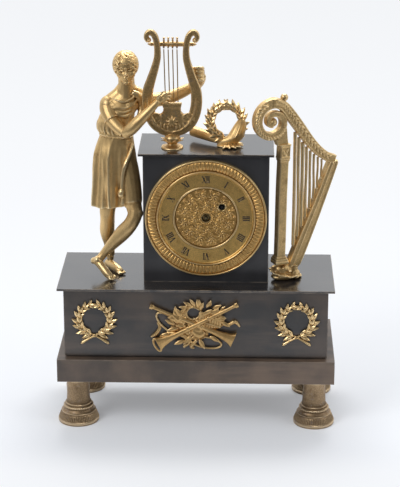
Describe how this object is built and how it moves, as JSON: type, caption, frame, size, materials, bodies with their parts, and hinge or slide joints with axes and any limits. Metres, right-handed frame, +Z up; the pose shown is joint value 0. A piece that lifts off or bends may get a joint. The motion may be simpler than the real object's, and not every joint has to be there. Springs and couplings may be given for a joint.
{
  "type": "figural mantel clock",
  "caption": "Gilt and dark bronze mantel clock: a youth playing a lyre and a tall harp flank a round dial on a stepped case with turned feet.",
  "frame": {"origin": "middle of the footprint on the surface that the feet stand on", "axes": "+X to the clock's right as seen from the front, +Y to the back, +Z up"},
  "size_m": [0.2328, 0.1034, 0.3304],
  "materials": {
    "dark_bronze": "dark brown-black patina, polished",
    "plinth_bronze": "brown patina, satin",
    "gilt": "fire gilt, worn, satin with burnished high points",
    "pale_gilt": "matt gilding, bright",
    "worn_gilt": "gilding worn brown",
    "gilt_feet": "worn gilding on turned brass",
    "brass": "polished clock brass",
    "steel": "polished steel",
    "silk": "twisted silk thread"
  },
  "bodies": {
    "case": {"foot_front_left": "gilt_feet", "foot_front_right": "gilt_feet", "foot_back_left": "gilt_feet", "foot_back_right": "gilt_feet", "foot_nuts": "steel", "plinth": "plinth_bronze", "base_block": "dark_bronze", "base_slab": "dark_bronze", "wreath_left": "pale_gilt", "wreath_right": "pale_gilt", "trophy": "pale_gilt", "applique_pins": "brass", "pedestal_case": "dark_bronze", "pedestal_cap": "dark_bronze", "tie_rods": "steel", "tie_nuts": "steel", "bezel": "gilt", "dial_plate": "brass", "chapter_ring": "pale_gilt", "dial_centre": "gilt", "dial_feet": "brass", "straps": "brass", "strap_screws": "steel", "rear_rim": "brass", "hinge_pin": "steel", "front_plate": "brass", "back_plate": "brass", "pillars": "brass", "suspension_cock": "brass", "figure_body": "gilt", "figure_head": "gilt", "figure_arm_right": "gilt", "figure_arm_left": "gilt", "lyre_frame": "worn_gilt", "lyre_yoke": "worn_gilt", "lyre_strings": "worn_gilt", "cap_wreath": "pale_gilt", "cap_horn": "gilt", "harp_pillar": "gilt", "harp_neck": "gilt", "harp_soundbox": "gilt", "harp_strings": "gilt", "harp_base": "gilt", "ornament_studs": "brass"},
    "winding": {"winding_arbor": "steel", "ratchet_wheel": "steel"},
    "click": {"click": "steel"},
    "barrel": {"barrel": "brass"},
    "centre": {"centre_wheel": "brass", "cannon_pinion": "steel"},
    "minute": {"minute_wheel": "brass"},
    "hour": {"hour_wheel": "brass"},
    "third": {"third_wheel": "brass"},
    "escape": {"escape_wheel": "brass"},
    "anchor": {"anchor": "steel"},
    "spool": {"spool": "brass"},
    "pendulum": {"silk": "silk", "pendulum_rod": "steel", "bob": "brass"},
    "rear_door": {"rear_door": "brass"}
  },
  "joints": [
    {"name": "third_arbor_spin", "type": "hinge", "parent": "case", "child": "third", "pos_m": [0.00197, -0.0175, 0.18705], "axis": [0, 1, 0], "continuous": true},
    {"name": "centre_arbor_spin", "type": "hinge", "parent": "case", "child": "centre", "pos_m": [0.008, -0.0175, 0.1774], "axis": [0, 1, 0], "continuous": true},
    {"name": "barrel_spin", "type": "hinge", "parent": "case", "child": "barrel", "pos_m": [0.02094, -0.0175, 0.1867], "axis": [0, 1, 0], "continuous": true},
    {"name": "escape_arbor_spin", "type": "hinge", "parent": "case", "child": "escape", "pos_m": [0.008, -0.0175, 0.1949], "axis": [0, 1, 0], "continuous": true},
    {"name": "minute_wheel_spin", "type": "hinge", "parent": "case", "child": "minute", "pos_m": [0.008, -0.0175, 0.1702], "axis": [0, 1, 0], "continuous": true},
    {"name": "hour_wheel_spin", "type": "hinge", "parent": "case", "child": "hour", "pos_m": [0.008, -0.0175, 0.1774], "axis": [0, 1, 0], "continuous": true},
    {"name": "winding_arbor_turn", "type": "hinge", "parent": "case", "child": "winding", "pos_m": [0.02094, -0.0175, 0.1867], "axis": [0, 1, 0], "range_deg": [0, 1620]},
    {"name": "click_lift", "type": "hinge", "parent": "case", "child": "click", "pos_m": [0.01945, -0.0175, 0.19517], "axis": [0, -1, 0], "range_deg": [0, 10]},
    {"name": "pendulum_swing", "type": "hinge", "parent": "case", "child": "pendulum", "pos_m": [0.008, 0.01, 0.2045], "axis": [0, 1, 0], "range_deg": [-5, 5]},
    {"name": "anchor_rock", "type": "hinge", "parent": "case", "child": "anchor", "pos_m": [0.008, 0.01, 0.2045], "axis": [0, 1, 0], "range_deg": [-5, 5]},
    {"name": "spool_turn", "type": "hinge", "parent": "case", "child": "spool", "pos_m": [0.008, 0.01, 0.2079], "axis": [0, 1, 0], "range_deg": [-180, 180]},
    {"name": "rear_door_swing", "type": "hinge", "parent": "case", "child": "rear_door", "pos_m": [0.0537, 0.0337, 0.1774], "axis": [0, 0, -1], "range_deg": [0, 110]}
  ],
  "couplings": [
    {"joint": "centre_arbor_spin", "follows": "third_arbor_spin", "ratio": -0.083333},
    {"joint": "barrel_spin", "follows": "third_arbor_spin", "ratio": 0.010417},
    {"joint": "escape_arbor_spin", "follows": "third_arbor_spin", "ratio": -14},
    {"joint": "minute_wheel_spin", "follows": "third_arbor_spin", "ratio": 0.027778},
    {"joint": "hour_wheel_spin", "follows": "third_arbor_spin", "ratio": -0.0069444},
    {"joint": "anchor_rock", "follows": "pendulum_swing", "ratio": 1}
  ]
}
